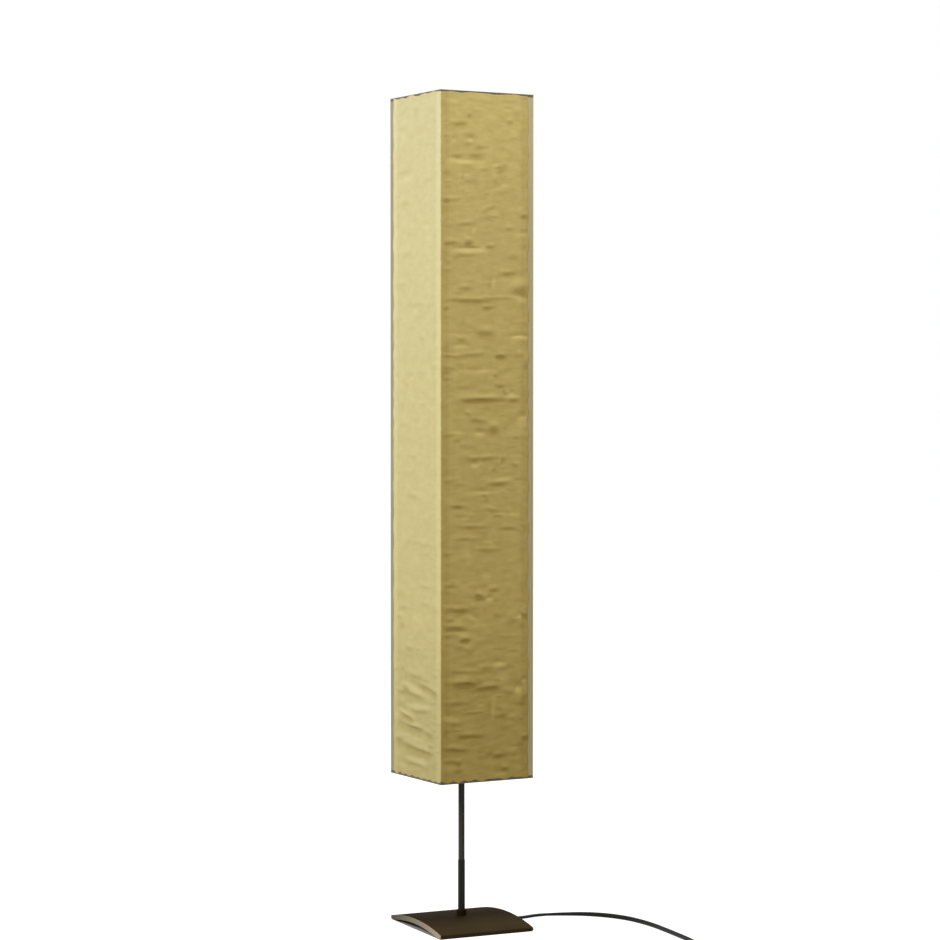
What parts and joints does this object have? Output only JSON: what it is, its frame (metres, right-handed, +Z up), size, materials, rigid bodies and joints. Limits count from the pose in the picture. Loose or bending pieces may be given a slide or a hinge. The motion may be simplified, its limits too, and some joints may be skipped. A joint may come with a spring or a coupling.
{
  "type": "andon floor lamp",
  "caption": "Tall square paper-shade floor lamp on a thin pole with an arched steel base plate, flat cord, foot switch and plug.",
  "frame": {"origin": "centre of the base plate's footprint, on the floor", "axes": "+Z up along the pole; the base's arch runs along X, its feet lie along -Y and +Y; the shade's broad front face in the rest pose looks towards -Y"},
  "size_m": [0.3693, 0.482, 1.18],
  "materials": {
    "base_bronze": "satin",
    "pole_black": "satin",
    "frame_dark": "matt",
    "frame_wood": "stained, matt",
    "shade_paper": "crinkled matt paper",
    "zinc_steel": "zinc plated",
    "pad_rubber": "matt",
    "holder_black": "matt moulded",
    "contact_brass": "bright",
    "cap_nickel": "satin",
    "bulb_opal": "opal",
    "core_white": "satin",
    "cord_black": "satin",
    "switch_black": "fine grain",
    "plug_black": "fine grain",
    "pin_nickel": "bright"
  },
  "bodies": {
    "stand": {"base_plate": "base_bronze", "foot_pads": "pad_rubber", "base_nipple": "zinc_steel", "base_washer": "zinc_steel", "base_nut": "zinc_steel", "foot_collar": "pole_black", "pole_lower": "pole_black", "pole_middle": "pole_black", "pole_upper": "pole_black", "lower_pole_nipple": "zinc_steel", "upper_pole_nipple": "zinc_steel", "pole_top_stud": "zinc_steel", "cord_clamp": "holder_black", "cord_clamp_screws": "zinc_steel", "main_cores": "core_white", "branch_cores": "core_white", "lower_bracket": "zinc_steel", "lower_set_screw": "zinc_steel", "lower_holder_nipple": "zinc_steel", "lower_holder_nut": "zinc_steel", "lower_holder_cap": "holder_black", "lower_holder_sleeve": "holder_black", "lower_holder_contact": "contact_brass", "upper_bracket": "zinc_steel", "upper_set_screw": "zinc_steel", "upper_holder_nipple": "zinc_steel", "upper_holder_nut": "zinc_steel", "upper_holder_cap": "holder_black", "upper_holder_sleeve": "holder_black", "upper_holder_contact": "contact_brass", "cord_to_switch": "cord_black", "switch_base": "switch_black", "switch_cover": "switch_black", "switch_boots": "pad_rubber", "switch_screws": "zinc_steel", "switch_spring": "zinc_steel", "cord_to_coil": "cord_black", "cord_coil": "cord_black", "cord_tail": "cord_black", "plug_relief": "pad_rubber", "plug_body": "plug_black", "plug_pins": "pin_nickel"},
    "lower_bulb": {"lower_bulb_cap": "cap_nickel", "lower_bulb_glass": "bulb_opal"},
    "upper_bulb": {"upper_bulb_cap": "cap_nickel", "upper_bulb_glass": "bulb_opal"},
    "clamp_washer": {"clamp_washer": "zinc_steel"},
    "shade": {"bottom_ring": "frame_dark", "top_ring": "frame_dark", "post_near_left": "frame_wood", "post_near_right": "frame_wood", "post_far_right": "frame_wood", "post_far_left": "frame_wood", "top_cross": "frame_dark", "paper_front": "shade_paper", "paper_left": "shade_paper", "paper_back": "shade_paper", "paper_right": "shade_paper"},
    "cap_nut": {"cap_nut": "pole_black"},
    "switch_button": {"switch_button": "switch_black"}
  },
  "joints": [
    {"name": "shade_lift", "type": "slide", "parent": "stand", "child": "clamp_washer", "axis": [0, 0, 1], "range_m": [0, 0.96]},
    {"name": "shade_turn", "type": "hinge", "parent": "clamp_washer", "child": "shade", "pos_m": [0, 0, 1.157], "axis": [0, 0, 1], "continuous": true},
    {"name": "cap_nut_turn", "type": "hinge", "parent": "shade", "child": "cap_nut", "pos_m": [0, 0, 1.164], "axis": [0, 0, 1], "continuous": true},
    {"name": "lower_bulb_screw", "type": "hinge", "parent": "stand", "child": "lower_bulb", "pos_m": [0.034, 0, 0.505], "axis": [0, 0, 1], "range_deg": [0, 1440]},
    {"name": "upper_bulb_screw", "type": "hinge", "parent": "stand", "child": "upper_bulb", "pos_m": [-0.034, 0, 0.835], "axis": [0, 0, 1], "range_deg": [0, 1440]},
    {"name": "foot_switch_press", "type": "slide", "parent": "stand", "child": "switch_button", "axis": [0, 0, -1], "range_m": [0, 0.0025], "stiffness_N_per_m": 600, "springref_m": -0.002, "deforming": ["switch_spring"]}
  ]
}
